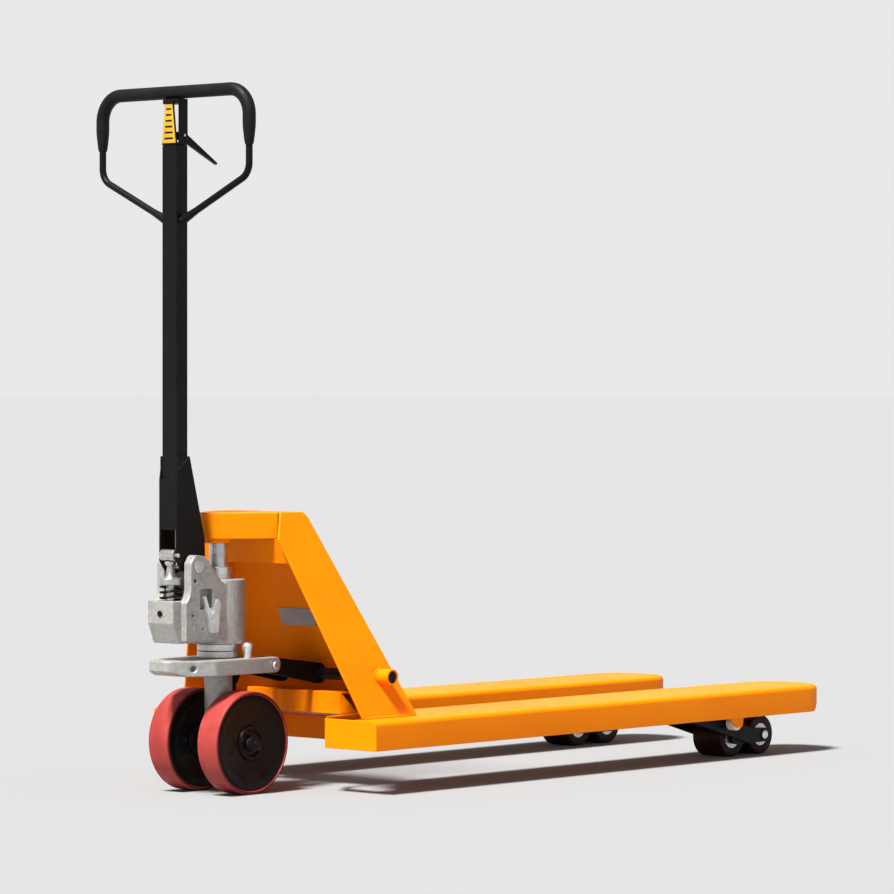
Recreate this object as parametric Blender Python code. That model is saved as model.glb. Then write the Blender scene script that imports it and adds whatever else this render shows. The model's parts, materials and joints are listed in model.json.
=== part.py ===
"""Hand pallet truck with a foot on the floor at Z = 0 and its forks along +X.

Every shape below is given in metres from the steering axis: X towards the fork
tips, Y to the left, Z up. The empty "truck" then moves the whole truck so that
the origin is the bottom centre of its bounding box. Each joint has an empty on
its axis, and the pieces that move with that joint are its children.
"""

import math

import bmesh
import bpy
from mathutils import Vector

# ---- Driving dimensions -------------------------------------------------------

GAP = 0.0003              # between pieces that touch
RUN = 0.0005              # between pieces that turn or slide on each other

FORK_TIP_X = 1.423
HEEL_X = 0.11
FORK_Y = 0.1925           # centre line of each fork
FORK_HALF = 0.0825
DECK_Z = 0.130            # top of the forks, partly raised
FORK_LOW_Z = 0.0785
PLATE = 0.004             # thickness of the folded plate

WHEEL_R = 0.090
WHEEL_HALF = 0.025
WHEEL_Y = 0.0605
TREAD_IN = 0.072
AXLE_R = 0.010

ROLLER_R = 0.038
ROLLER_HALF = 0.034
ROLLER_STEP = 0.0445      # from a bogie's centre to each of its axles
BOGIE_X = 1.216
YOKE_ARM = 0.19
YOKE_Z = 0.086
YOKE_X = BOGIE_X - math.sqrt(YOKE_ARM ** 2 - (YOKE_Z - ROLLER_R) ** 2)
YOKE_LEVER = 0.0255
YOKE_LEVER_BACK = math.radians(4)
ROD_Y = 0.168

SHAFT_X = 0.205
SHAFT_Z = 0.2005
SHAFT_R = 0.0105
SHAFT_END_Y = 0.2265
BOSS_R = 0.0145
CRANK = 0.0197
CRANK_BACK = math.radians(5)
LUG_PIN_X = 0.0745
LUG_PIN_Z = 0.2215
LUG_PIN_R = 0.007

SEAT_LOW_Z = 0.2085
SEAT_TOP_Z = 0.236
SEAT_NOSE_X = -0.150
SEAT_HALF = 0.066
SPINDLE_R = 0.0245

PUMP_R = 0.047
PUMP_LOW_Z = 0.261
PUMP_TOP_Z = 0.374
BLOCK_X = -0.1425
BLOCK_HALF = 0.031
BLOCK_LOW_Z = 0.266
BLOCK_TOP_Z = 0.340
EAR_IN = 0.0245
EAR_OUT = 0.042
RAM_R = 0.0165
RAM_LOW_Z = 0.3025

PLUNGER_X = -0.117
PLUNGER_TOP_Z = 0.408
CAP_R = 0.0215
CAP_LOW_Z = 0.367
CAP_TOP_Z = 0.379
PISTON_R = 0.009
PISTON_LOW_Z = 0.3127
RECESS_R = 0.0222
RECESS_Z = 0.300

PIVOT_X = -0.0915         # the handle's pivot
PIVOT_Z = 0.399
PIVOT_R = 0.0065
PRESS_X = -0.1205         # the pressure roller
PRESS_Z = 0.4185
PRESS_R = 0.010
HANDLE_X = -0.107
COLUMN_X = 0.0135         # half sizes of the column
COLUMN_Y = 0.018
COLUMN_LOW_Z = 0.470
COLUMN_TOP_Z = 1.130
LOOP_HALF = 0.181
LOOP_TOP_Z = 1.222
LOOP_BEND_Z = 1.075
LOOP_FOOT_Z = 0.998
LOOP_R = 0.006
GRIP_R = 0.0115
GRIP_END_Z = 1.125
TRIGGER_X = -0.100
TRIGGER_Z = 1.147

RELEASE_X = -0.060        # the release rocker's pivot
RELEASE_Z = 0.313

EXIT_X = 1.138            # the small roller behind each yoke
EXIT_Z = 0.0685
EXIT_R = 0.014

WASHER_R = 0.0375         # the two washers that the pump turns on
WASHER_SPLIT_Z = 0.248

TRAY_LOW_Z = 0.1303
TRAY_BEND_Z = 0.444       # where the side flanges meet the crown
CROWN_LOW_Z = 0.444
CROWN_TOP_Z = 0.4905
FLANGE = 0.005

TRUCK_X = -(FORK_TIP_X + SEAT_NOSE_X) / 2


def tray_front(z):
    """X of the side flanges' free edge at height z."""
    if z > TRAY_BEND_Z:
        return 0.043 + 0.49 * (z - TRAY_BEND_Z)
    return 0.133 - 0.287 * (z - 0.131)


def tray_back(z):
    """X of the load face at height z."""
    return 0.273 - 0.403 * (z - 0.131)


def tray_half(z):
    """Half the width across the side flanges at height z."""
    return 0.22 - 0.375 * (z - 0.14)


# ---- Materials ----------------------------------------------------------------

PAINTS = {
    "paint_orange": ((0.93, 0.42, 0.01), 0.35, 0.0),
    "paint_black": ((0.012, 0.012, 0.012), 0.4, 0.0),
    "cast_metal": ((0.45, 0.43, 0.40), 0.5, 0.8),
    "steel": ((0.55, 0.55, 0.54), 0.3, 1.0),
    "zinc": ((0.62, 0.63, 0.62), 0.35, 0.9),
    "tread_red": ((0.60, 0.09, 0.07), 0.5, 0.0),
    "roller_maroon": ((0.16, 0.02, 0.025), 0.5, 0.0),
    "black_plastic": ((0.02, 0.02, 0.02), 0.5, 0.0),
    "grip_rubber": ((0.015, 0.015, 0.015), 0.6, 0.0),
    "label_yellow": ((0.90, 0.60, 0.05), 0.5, 0.0),
    "label_grey": ((0.40, 0.40, 0.40), 0.4, 0.3),
    "nylon": ((0.75, 0.70, 0.58), 0.5, 0.0),
}


def paint(name):
    """The named material, made once."""
    found = bpy.data.materials.get(name)
    if found:
        return found
    colour, roughness, metallic = PAINTS[name]
    made = bpy.data.materials.new(name)
    made.use_nodes = True
    shader = made.node_tree.nodes["Principled BSDF"]
    shader.inputs["Base Color"].default_value = (*colour, 1)
    shader.inputs["Roughness"].default_value = roughness
    shader.inputs["Metallic"].default_value = metallic
    made.diffuse_color = (*colour, 1)
    return made


# ---- Joint empties and objects ------------------------------------------------

EMPTIES = {}


def empty(name, spot=(0, 0, 0), parent=None):
    """An empty at a spot given from the steering axis."""
    made = bpy.data.objects.new(f"{name}_joint", None)
    made.empty_display_size = 0.03
    bpy.context.collection.objects.link(made)
    EMPTIES[name] = (made, Vector(spot))
    if parent:
        holder, base = EMPTIES[parent]
        made.parent = holder
        made.location = Vector(spot) - base
    else:
        made.location = (TRUCK_X, 0, 0)
    return name


def add(name, bm, material, joint="truck", smooth=False):
    """An object from a mesh drawn from the steering axis, on its joint's empty."""
    holder, base = EMPTIES[joint]
    bmesh.ops.recalc_face_normals(bm, faces=bm.faces)
    bmesh.ops.translate(bm, vec=-base, verts=bm.verts)
    mesh = bpy.data.meshes.new(name)
    bm.to_mesh(mesh)
    bm.free()
    made = bpy.data.objects.new(name, mesh)
    made.parent = holder
    bpy.context.collection.objects.link(made)
    if material:
        mesh.materials.append(paint(material))
    if smooth:
        mesh.shade_smooth()
        mesh.set_sharp_from_angle(angle=math.radians(40))
    return made


def combine(target, bm, operation):
    """Join or cut a shape with a Boolean whose tool stays as a wire object."""
    count = len(target.modifiers)
    holder = next(name for name, (made, _) in EMPTIES.items() if made == target.parent)
    tool = add(f"tool_{target.name}_{count}", bm, None, holder)
    tool.hide_render = True
    tool.display_type = "WIRE"
    step = target.modifiers.new(f"{operation.lower()}_{count}", "BOOLEAN")
    step.operation = operation
    step.solver = "EXACT"
    step.object = tool


def cut(target, *shapes):
    """Take shapes away from an object."""
    for bm in shapes:
        combine(target, bm, "DIFFERENCE")


def join(target, *shapes):
    """Weld shapes onto an object."""
    for bm in shapes:
        combine(target, bm, "UNION")


# ---- Shapes -------------------------------------------------------------------

def along(axis, a, b, h):
    """A point with (a, b) across the axis and h along it."""
    return {"X": (h, a, b), "Y": (a, h, b), "Z": (a, b, h)}[axis]


def box(low, high):
    """A box between two corners."""
    outline = [(low[0], low[1]), (high[0], low[1]), (high[0], high[1]), (low[0], high[1])]
    return prism(outline, "Z", low[2], high[2])


def prism(outline, axis, low, high):
    """A solid of constant section between two heights on an axis."""
    return loft([[along(axis, *point, low) for point in outline],
                 [along(axis, *point, high) for point in outline]])


def loft(loops, hollow=False):
    """A solid through closed loops with equal numbers of points."""
    bm = bmesh.new()
    rows = [[bm.verts.new(point) for point in loop] for loop in loops]
    pairs = list(zip(rows, rows[1:]))
    if hollow:
        pairs.append((rows[-1], rows[0]))
    else:
        bm.faces.new(rows[0])
        bm.faces.new(rows[-1])
    for first, second in pairs:
        for i in range(len(first)):
            k = (i + 1) % len(first)
            bm.faces.new((first[i], first[k], second[k], second[i]))
    return bm


def turned(profile, centre, axis="Y", steps=24, start=0.0):
    """A solid of revolution: profile holds (radius, height) round a closed section.

    A profile that starts and ends on the axis gives a solid piece, any other a ring.
    """
    bm = bmesh.new()
    solid = profile[0][0] == 0
    rows = []
    for radius, height in profile:
        if radius == 0:
            rows.append([bm.verts.new(Vector(centre) + Vector(along(axis, 0, 0, height)))])
            continue
        row = []
        for i in range(steps):
            angle = start + 2 * math.pi * i / steps
            a = radius * math.sin(angle)
            b = -radius * math.cos(angle)
            row.append(bm.verts.new(Vector(centre) + Vector(along(axis, a, b, height))))
        rows.append(row)
    pairs = list(zip(rows, rows[1:]))
    if not solid:
        pairs.append((rows[-1], rows[0]))
    for first, second in pairs:
        for i in range(steps):
            k = (i + 1) % steps
            corners = [first[i % len(first)], first[k % len(first)],
                       second[k % len(second)], second[i % len(second)]]
            bm.faces.new(list(dict.fromkeys(corners)))
    return bm


def disc(radius, low, high, centre, axis="Y", steps=16):
    """A cylinder."""
    return turned([(0, low), (radius, low), (radius, high), (0, high)], centre, axis, steps)


def ring(inner, outer, low, high, centre, axis="Y", steps=24):
    """A washer or sleeve."""
    section = [(inner, low), (outer, low), (outer, high), (inner, high)]
    return turned(section, centre, axis, steps)


def rounded(points, radii, closed=True, steps=4):
    """A path whose corners are arcs of the given radii."""
    spots = [Vector(point) for point in points]
    count = len(spots)
    path = []
    for i, corner in enumerate(spots):
        radius = radii[i] if isinstance(radii, (list, tuple)) else radii
        if radius == 0 or (not closed and i in (0, count - 1)):
            path.append(corner)
            continue
        back = (spots[i - 1] - corner).normalized()
        ahead = (spots[(i + 1) % count] - corner).normalized()
        half = back.angle(ahead) / 2
        middle = corner + (back + ahead).normalized() * radius / math.sin(half)
        first = corner + back * radius / math.tan(half) - middle
        last = corner + ahead * radius / math.tan(half) - middle
        sweep = first.angle(last)
        for k in range(steps + 1):
            part = sweep * k / steps
            arc = first * math.sin(sweep - part) + last * math.sin(part)
            path.append(middle + arc / math.sin(sweep))
    return path


def rings_along(path, radius, sides):
    """Circles square to a path that lies in a plane of constant X."""
    loops = []
    for i, spot in enumerate(path):
        ahead = path[min(i + 1, len(path) - 1)] - path[max(i - 1, 0)]
        ahead.normalize()
        across = Vector((1, 0, 0))
        normal = ahead.cross(across)
        loop = []
        for k in range(sides):
            angle = 2 * math.pi * k / sides
            loop.append(spot + radius * (math.cos(angle) * across + math.sin(angle) * normal))
        loops.append(loop)
    return loops


def spans(side, low, high):
    """Two Y values in rising order, on one side of the truck."""
    return sorted((side * low, side * high))


def inset(points, depth):
    """A counterclockwise outline moved inwards by a wall's thickness."""
    spots = [Vector(point) for point in points]
    moved = []
    for i, spot in enumerate(spots):
        back = (spot - spots[i - 1]).normalized()
        ahead = (spots[(i + 1) % len(spots)] - spot).normalized()
        first = Vector((-back.y, back.x))
        second = Vector((-ahead.y, ahead.x))
        moved.append(spot + (first + second) * depth / (1 + first.dot(second)))
    return moved


# ---- Frame --------------------------------------------------------------------

def fork_outline(side, depth=0.0):
    """Plan of a fork: square heel with its inner corner cut off, round nose."""
    nose = 0.070
    heel_cut = 0.16
    points = [(HEEL_X, -FORK_HALF + 0.043), (heel_cut, -FORK_HALF), (FORK_TIP_X, -FORK_HALF),
              (FORK_TIP_X, FORK_HALF), (HEEL_X, FORK_HALF)]
    points = rounded(inset(points, depth), [0, 0, nose - depth, nose - depth, 0], steps=8)
    return [(x, side * (FORK_Y + y)) for x, y in points]


def make_fork(name, side):
    """An inverted channel with a boxed heel that is open on top."""
    fork = add(name, prism(fork_outline(side), "Z", FORK_LOW_Z, DECK_Z), "paint_orange")
    cut(fork, prism(fork_outline(side, PLATE), "Z", FORK_LOW_Z - 0.02, DECK_Z - PLATE))
    low, high = spans(side, FORK_Y - 0.070, FORK_Y + 0.022)
    cut(fork, box((HEEL_X + 0.008, low, DECK_Z - 0.01), (0.232, high, DECK_Z + 0.01)))
    rise = [(FORK_TIP_X - 0.050, FORK_LOW_Z - 0.001), (FORK_TIP_X + 0.02, FORK_LOW_Z - 0.001),
            (FORK_TIP_X + 0.02, FORK_LOW_Z + 0.0555)]
    low, high = spans(side, FORK_Y - 0.1, FORK_Y + 0.1)
    cut(fork, prism(rise, "Y", low, high))


def make_back_frame():
    """The leaning tray: load face with a sloped flange on each side."""
    chamfer_z = 0.482
    loops = []
    for z, back in ((TRAY_LOW_Z, tray_back(TRAY_LOW_Z)), (TRAY_BEND_Z, tray_back(TRAY_BEND_Z)),
                    (chamfer_z, tray_back(chamfer_z)), (CROWN_TOP_Z, 0.122)):
        front = tray_front(z)
        half = tray_half(z)
        inner = half - FLANGE
        loops.append([(front, half, z), (back, half, z), (back, -half, z), (front, -half, z),
                      (front, -inner, z), (back - FLANGE, -inner, z),
                      (back - FLANGE, inner, z), (front, inner, z)])
    tray = add("back_frame", loft(loops), "paint_orange")
    for side in (1, -1):
        low, high = spans(side, 0.15, 0.24)
        cut(tray, disc(BOSS_R + GAP, low, high, (SHAFT_X, 0, SHAFT_Z), steps=20))


def crown_outline(tip, wide_x, wide_y, back_x, inner_y):
    """Plan of the crown: a round tongue that widens to meet the flanges."""
    reach = math.hypot(wide_x, wide_y)
    start = math.atan2(wide_y, wide_x) + math.acos(tip / reach)
    points = []
    steps = 10
    for i in range(steps + 1):
        angle = start + (2 * math.pi - 2 * start) * i / steps
        points.append((tip * math.cos(angle), tip * math.sin(angle)))
    return points + [(wide_x, -wide_y), (wide_x, -inner_y), (back_x, -inner_y),
                     (back_x, inner_y), (wide_x, inner_y), (wide_x, wide_y)]


def make_crown():
    """The cap over the ram, hollow from below, with a round boss at its tip."""
    flange_meets_z = 0.478
    front = tray_front(flange_meets_z) - GAP
    crown = add("crown", prism(crown_outline(0.034, front, 0.088, 0.1165, 0.0825), "Z",
                               CROWN_LOW_Z, CROWN_TOP_Z), "paint_orange")
    join(crown, disc(0.031, 0.437, CROWN_LOW_Z + 0.02, (0, 0, 0), "Z", steps=32))
    cut(crown, prism(crown_outline(0.024, front - 0.006, 0.076, 0.110, 0.072), "Z",
                     0.43, CROWN_TOP_Z - 0.010))


def make_cross_box():
    """The angle under the crown that ties the two flanges together."""
    low_z = 0.400
    top_z = CROWN_LOW_Z - GAP
    wall = 0.006
    setback = 0.012
    section = [(tray_front(top_z) + setback, top_z), (tray_front(low_z) + setback, low_z),
               (tray_back(low_z) - FLANGE - GAP, low_z),
               (tray_back(low_z + wall) - FLANGE - GAP, low_z + wall),
               (tray_front(low_z + wall) + setback + wall, low_z + wall),
               (tray_front(top_z) + setback + wall, top_z)]
    ends = [[(x, side * (tray_half(z) - FLANGE - GAP), z) for x, z in section]
            for side in (-1, 1)]
    add("upper_cross_angle", loft(ends), "paint_orange")


def square_tube(name, low, high, wall):
    """A tube along Y with open ends."""
    tube = add(name, box(low, high), "paint_orange")
    cut(tube, box((low[0] + wall, low[1] - 0.01, low[2] + wall),
                  (high[0] - wall, high[1] + 0.01, high[2] - wall)))


def make_rating_plate():
    """A thin plate on the handle side of the back panel."""
    low_z = 0.284
    high_z = 0.315
    thick = 0.001
    face = FLANGE + GAP
    section = [(tray_back(low_z) - face, low_z), (tray_back(low_z) - face - thick, low_z),
               (tray_back(high_z) - face - thick, high_z), (tray_back(high_z) - face, high_z)]
    add("rating_plate", prism(section, "Y", -0.042, 0.042), "label_grey")


def make_frame():
    """Everything that is welded or fixed to the forks."""
    for name, side in (("left", 1), ("right", -1)):
        make_fork(f"fork_{name}", side)
        low, high = spans(side, 0.180, 0.2275)
        add(f"shaft_boss_{name}", ring(SHAFT_R + RUN, BOSS_R, low, high,
                                       (SHAFT_X, 0, SHAFT_Z), steps=20), "paint_orange")
    make_back_frame()
    make_crown()
    make_cross_box()
    inner = FORK_Y - FORK_HALF - GAP
    square_tube("lower_cross_member", (0.235, -inner, 0.080), (0.275, inner, 0.122), 0.004)
    square_tube("cross_tube", (0.19, -0.116, TRAY_LOW_Z), (0.235, 0.116, 0.170), 0.004)
    make_rating_plate()
    add("ram", disc(RAM_R, RAM_LOW_Z, CROWN_TOP_Z - 0.010 - GAP, (0, 0, 0), "Z", steps=24),
        "steel", smooth=True)


# ---- Exit rollers under the forks -----------------------------------------------

def make_exit_roller(name, side):
    """A bracket inside the fork's outer wall, with a small roller on its stub."""
    wall = FORK_Y + FORK_HALF - PLATE - GAP
    low, high = spans(side, wall - 0.004, wall)
    outline = rounded([(EXIT_X - 0.030, 0.120), (EXIT_X - 0.030, 0.0785), (EXIT_X - 0.008, 0.0605),
                       (EXIT_X + 0.009, 0.0605), (EXIT_X + 0.022, 0.120)],
                      [0, 0, 0.006, 0.006, 0], steps=3)
    bracket = add(f"exit_bracket_{name}", prism(outline, "Y", low, high), "paint_orange")
    low, high = spans(side, wall - 0.026, wall - 0.002)
    join(bracket, disc(0.004, low, high, (EXIT_X, 0, EXIT_Z), steps=12))
    hinge = empty(f"exit_{name}_axis", (EXIT_X, side * (wall - 0.015), EXIT_Z), "truck")
    low, high = spans(side, wall - 0.0235, wall - 0.0055)
    add(f"exit_roller_{name}", ring(0.0045, EXIT_R, low, high, (EXIT_X, 0, EXIT_Z), steps=20),
        "nylon", hinge, smooth=True)


# ---- Bearing seat (goes down as the forks rise) ---------------------------------

def make_seat():
    """The cast plate under the pump, its two lugs and the pin through them."""
    plan = rounded([(SEAT_NOSE_X, -0.023), (-0.072, -SEAT_HALF), (0.046, -SEAT_HALF),
                    (0.046, SEAT_HALF), (-0.072, SEAT_HALF), (SEAT_NOSE_X, 0.023)],
                   [0.02, 0.02, 0, 0, 0.02, 0.02])
    seat = add("bearing_seat", prism(plan, "Z", SEAT_LOW_Z, SEAT_TOP_Z), "cast_metal", "lift")
    lug = 0.0155
    outline = rounded([(0.030, LUG_PIN_Z - 0.013), (LUG_PIN_X + lug, LUG_PIN_Z - 0.013),
                       (LUG_PIN_X + lug, LUG_PIN_Z + 0.0145), (0.030, LUG_PIN_Z + 0.0145)],
                      [0, 0.0125, 0.0125, 0])
    for side in (1, -1):
        low, high = spans(side, 0.052, SEAT_HALF)
        join(seat, prism(outline, "Y", low, high))
    chin = [(SEAT_NOSE_X - 0.01, SEAT_LOW_Z - 0.002), (SEAT_NOSE_X + 0.040, SEAT_LOW_Z - 0.002),
            (SEAT_NOSE_X + 0.006, SEAT_LOW_Z + 0.0080), (SEAT_NOSE_X - 0.01, SEAT_LOW_Z + 0.0105)]
    cut(seat, disc(SPINDLE_R + RUN, 0.19, 0.25, (0, 0, 0), "Z", steps=32),
        prism(chin, "Y", -0.08, 0.08),
        disc(LUG_PIN_R + GAP, -0.08, 0.08, (LUG_PIN_X, 0, LUG_PIN_Z), steps=20))
    add("rocker_pivot_pin", disc(LUG_PIN_R, -0.070, 0.070, (LUG_PIN_X, 0, LUG_PIN_Z), steps=20),
        "steel", "lift", smooth=True)
    add("thrust_washer_lower", ring(SPINDLE_R + RUN, WASHER_R, SEAT_TOP_Z + GAP, WASHER_SPLIT_Z,
                                    (0, 0, 0), "Z", steps=32), "steel", "lift", smooth=True)
    base = SEAT_TOP_Z + GAP
    profile = [(0, base), (0.0070, base), (0.0070, 0.247), (0.0098, 0.251), (0.0098, 0.260),
               (0.006, 0.264), (0, 0.264)]
    add("steering_stop_pin", turned(profile, (0.017, -0.055, 0), "Z", steps=20),
        "steel", "lift", smooth=True)


# ---- Pump unit (steers on the bearing seat) --------------------------------------

def make_pump_housing():
    """The casting: a round body for the ram, a block for the plunger, two ears."""
    housing = add("pump_housing", disc(PUMP_R, PUMP_LOW_Z, PUMP_TOP_Z, (0, 0, 0), "Z", steps=36),
                  "cast_metal", "steer", smooth=True)
    block = [(-0.020, BLOCK_LOW_Z), (-0.1285, BLOCK_LOW_Z), (BLOCK_X, 0.301),
             (BLOCK_X, BLOCK_TOP_Z), (-0.020, BLOCK_TOP_Z)]
    join(housing, prism(block, "Y", -BLOCK_HALF, BLOCK_HALF))
    ear = rounded([(-0.121, 0.270), (-0.121, 0.336), (-0.1155, 0.3415), (-0.1112, 0.350),
                   (-0.1095, 0.360), (-0.1095, 0.404), (-0.0995, 0.4195), (-0.0745, 0.4165),
                   (-0.0345, 0.373), (-0.012, 0.360), (-0.012, 0.270)],
                  [0, 0, 0, 0, 0, 0.007, 0.009, 0.010, 0.015, 0, 0], steps=3)
    for side in (1, -1):
        low, high = spans(side, EAR_IN, EAR_OUT)
        join(housing, prism(ear, "Y", low, high))
    gland = ring(PISTON_R + RUN, 0.013, RECESS_Z - 0.002, 0.322, (PLUNGER_X, 0, 0), "Z")
    pivot = (PIVOT_X, 0, PIVOT_Z)
    cut(housing, disc(RECESS_R, RECESS_Z, 0.36, (PLUNGER_X, 0, 0), "Z", steps=24),
        disc(PISTON_R + RUN, 0.2695, 0.36, (PLUNGER_X, 0, 0), "Z", steps=20),
        disc(RAM_R + RUN, 0.25, 0.40, (0, 0, 0), "Z", steps=24),
        disc(PIVOT_R + GAP, -0.06, 0.06, pivot, steps=20))
    join(housing, gland)


def make_pump():
    """The pump, its spindle and axle, and what is bolted to it."""
    make_pump_housing()
    centre = (0, 0, 0)
    add("ram_gland", ring(RAM_R + RUN, 0.0245, PUMP_TOP_Z + GAP, 0.395, centre, "Z", steps=24),
        "steel", "steer", smooth=True)
    add("thrust_washer_upper", ring(SPINDLE_R + RUN, WASHER_R, WASHER_SPLIT_Z + GAP, PUMP_LOW_Z - GAP,
                                    centre, "Z", steps=32), "steel", "steer", smooth=True)
    profile = [(0, 0.066), (0.019, 0.066), (0.0225, 0.074), (SPINDLE_R, 0.150),
               (SPINDLE_R, PUMP_LOW_Z - GAP), (0, PUMP_LOW_Z - GAP)]
    spindle = add("steer_spindle", turned(profile, centre, "Z", steps=32), "cast_metal", "steer",
                  smooth=True)
    cut(spindle, disc(AXLE_R + GAP, -0.05, 0.05, (0, 0, WHEEL_R), steps=20))
    end = WHEEL_Y + WHEEL_HALF + 0.005
    head = [(0, -end), (0.0135, -end), (0.0135, 0.0035 - end), (AXLE_R, 0.0035 - end),
            (AXLE_R, end - 0.0035), (0.0135, end - 0.0035), (0.0135, end), (0, end)]
    add("wheel_axle", turned(head, (0, 0, WHEEL_R), steps=20), "steel", "steer", smooth=True)
    pivot = (PIVOT_X, 0, PIVOT_Z)
    add("handle_pivot_pin", disc(PIVOT_R, -0.0445, 0.0445, pivot, steps=20), "steel", "steer",
        smooth=True)
    plug = [(0, BLOCK_X - 0.0025), (0.0055, BLOCK_X - 0.0025), (0.0055, BLOCK_X - GAP),
            (0, BLOCK_X - GAP)]
    add("pump_screw_plug", turned(plug, (0, 0, 0.318), "X", steps=12), "black_plastic", "steer")
    low_z = RECESS_Z + GAP
    spring = [(0.0150, low_z), (0.0200, low_z), (0.0200, CAP_LOW_Z - GAP),
              (0.0150, CAP_LOW_Z - GAP)]
    add("plunger_spring", turned(spring, (PLUNGER_X, 0, 0), "Z", steps=24), "paint_black",
        "steer", smooth=True)


def make_plunger():
    """The pump piston with its spring cap and the stem that the roller presses."""
    profile = [(0, PISTON_LOW_Z), (PISTON_R, PISTON_LOW_Z), (PISTON_R, CAP_LOW_Z),
               (CAP_R, CAP_LOW_Z), (CAP_R, CAP_TOP_Z), (0.0085, CAP_TOP_Z + 0.004),
               (0.0065, PLUNGER_TOP_Z - 0.008), (0.0105, PLUNGER_TOP_Z - 0.004),
               (0.0105, PLUNGER_TOP_Z), (0, PLUNGER_TOP_Z)]
    add("plunger", turned(profile, (PLUNGER_X, 0, 0), "Z", steps=20), "steel", "plunge",
        smooth=True)


def make_release_rocker():
    """The zinc lever on the side of the pump that opens the lowering valve."""
    side = -(EAR_OUT + GAP)
    body = rounded([(RELEASE_X - 0.024, 0.345), (RELEASE_X - 0.010, 0.300), (RELEASE_X - 0.008, 0.283),
                    (RELEASE_X + 0.012, 0.283), (RELEASE_X + 0.018, 0.335), (RELEASE_X + 0.010, 0.343),
                    (RELEASE_X + 0.006, 0.326), (RELEASE_X - 0.010, 0.326), (RELEASE_X - 0.018, 0.347)],
                   [0, 0.004, 0.004, 0.004, 0.003, 0.002, 0.004, 0.004, 0], steps=2)
    lever = add("release_rocker", prism(body, "Y", side - 0.006, side), "zinc", "rocker_valve")
    join(lever, disc(0.0075, side - 0.012, side - 0.001, (RELEASE_X, 0, RELEASE_Z), steps=6))


def make_wheels():
    """Two steer wheels: tread, hub and bearing, all of one turned section each."""
    treads = [(TREAD_IN + 0.0002, -0.0235), (WHEEL_R - 0.004, -WHEEL_HALF),
              (WHEEL_R, -WHEEL_HALF + 0.004), (WHEEL_R, WHEEL_HALF - 0.004),
              (WHEEL_R - 0.004, WHEEL_HALF), (TREAD_IN + 0.0002, 0.0235)]
    rim = TREAD_IN - GAP
    hub = [(0.0218, -0.020), (0.032, -0.020), (0.036, -0.014), (0.062, -0.014),
           (0.065, -0.0225), (rim, -0.0225), (rim, 0.0225), (0.065, 0.0225), (0.062, 0.014),
           (0.036, 0.014), (0.032, 0.020), (0.0218, 0.020)]
    bearing = [(AXLE_R + RUN, -0.018), (0.0215, -0.018), (0.0215, 0.018), (AXLE_R + RUN, 0.018)]
    for name, side in (("left", 1), ("right", -1)):
        centre = (0, side * WHEEL_Y, WHEEL_R)
        axis = empty(f"steer_wheel_{name}_axis", centre, "steer")
        add(f"steer_wheel_tread_{name}", turned(treads, centre, steps=40), "tread_red", axis,
            smooth=True)
        add(f"steer_wheel_hub_{name}", turned(hub, centre, steps=40), "black_plastic", axis,
            smooth=True)
        add(f"steer_wheel_bearing_{name}", turned(bearing, centre, steps=24), "steel", axis,
            smooth=True)


# ---- Handle ---------------------------------------------------------------------

def make_handle_bracket():
    """Two flared side plates round the foot of the column, with a web in front."""
    front = -0.1235
    plate = rounded([(front, 0.408), (-0.112, 0.392), (-0.0915, 0.3835), (-0.068, 0.391),
                     (-0.0550, 0.415), (-0.0558, 0.446), (-0.0675, 0.490), (-0.0925, 0.590),
                     (-0.1208, 0.590), (-0.1208, 0.568), (front, 0.550)],
                    [0.004, 0.005, 0.012, 0.010, 0.010, 0.03, 0, 0.003, 0, 0, 0.004], steps=2)
    inner = COLUMN_Y + GAP
    outer = 0.0220
    bracket = add("handle_bracket", prism(plate, "Y", -outer, -inner), "paint_black", "handle")
    join(bracket, prism(plate, "Y", inner, outer),
         box((front, -outer + 0.001, 0.4625), (front + 0.0025, outer - 0.001, 0.552)))
    cut(bracket, disc(PIVOT_R + GAP, -0.05, 0.05, (PIVOT_X, 0, PIVOT_Z), steps=20),
        disc(0.0043, -0.05, 0.05, (PRESS_X, 0, PRESS_Z), steps=16))


def make_control_head():
    """Two straps from the column to the loop and the tapered strap for the label."""
    low = COLUMN_TOP_Z + GAP
    high = LOOP_TOP_Z - GRIP_R - GAP
    front = HANDLE_X - COLUMN_X
    head = add("control_head", box((front, -COLUMN_Y, low), (HANDLE_X + COLUMN_X, COLUMN_Y,
                                                            low + 0.004)), "paint_black", "handle")
    for side in (1, -1):
        a, b = spans(side, COLUMN_Y - 0.0035, COLUMN_Y)
        join(head, box((HANDLE_X - 0.006, a, low + 0.002), (-0.0935, b, high)))
    join(head, box((front + 0.002, -COLUMN_Y, high - 0.009), (-0.0935, COLUMN_Y, high)))
    loops = [[(front - 0.0006, -y, z), (front + 0.002, -y, z), (front + 0.002, y, z),
              (front - 0.0006, y, z)] for y, z in ((COLUMN_Y, low), (0.0095, high - 0.004))]
    join(head, loft(loops))
    cut(head, box((HANDLE_X - 0.004, -0.0035, low - 0.01), (-0.090, 0.0035, low + 0.01)),
        disc(0.0028, -0.03, 0.03, (TRIGGER_X, 0, TRIGGER_Z), steps=12))


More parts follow.
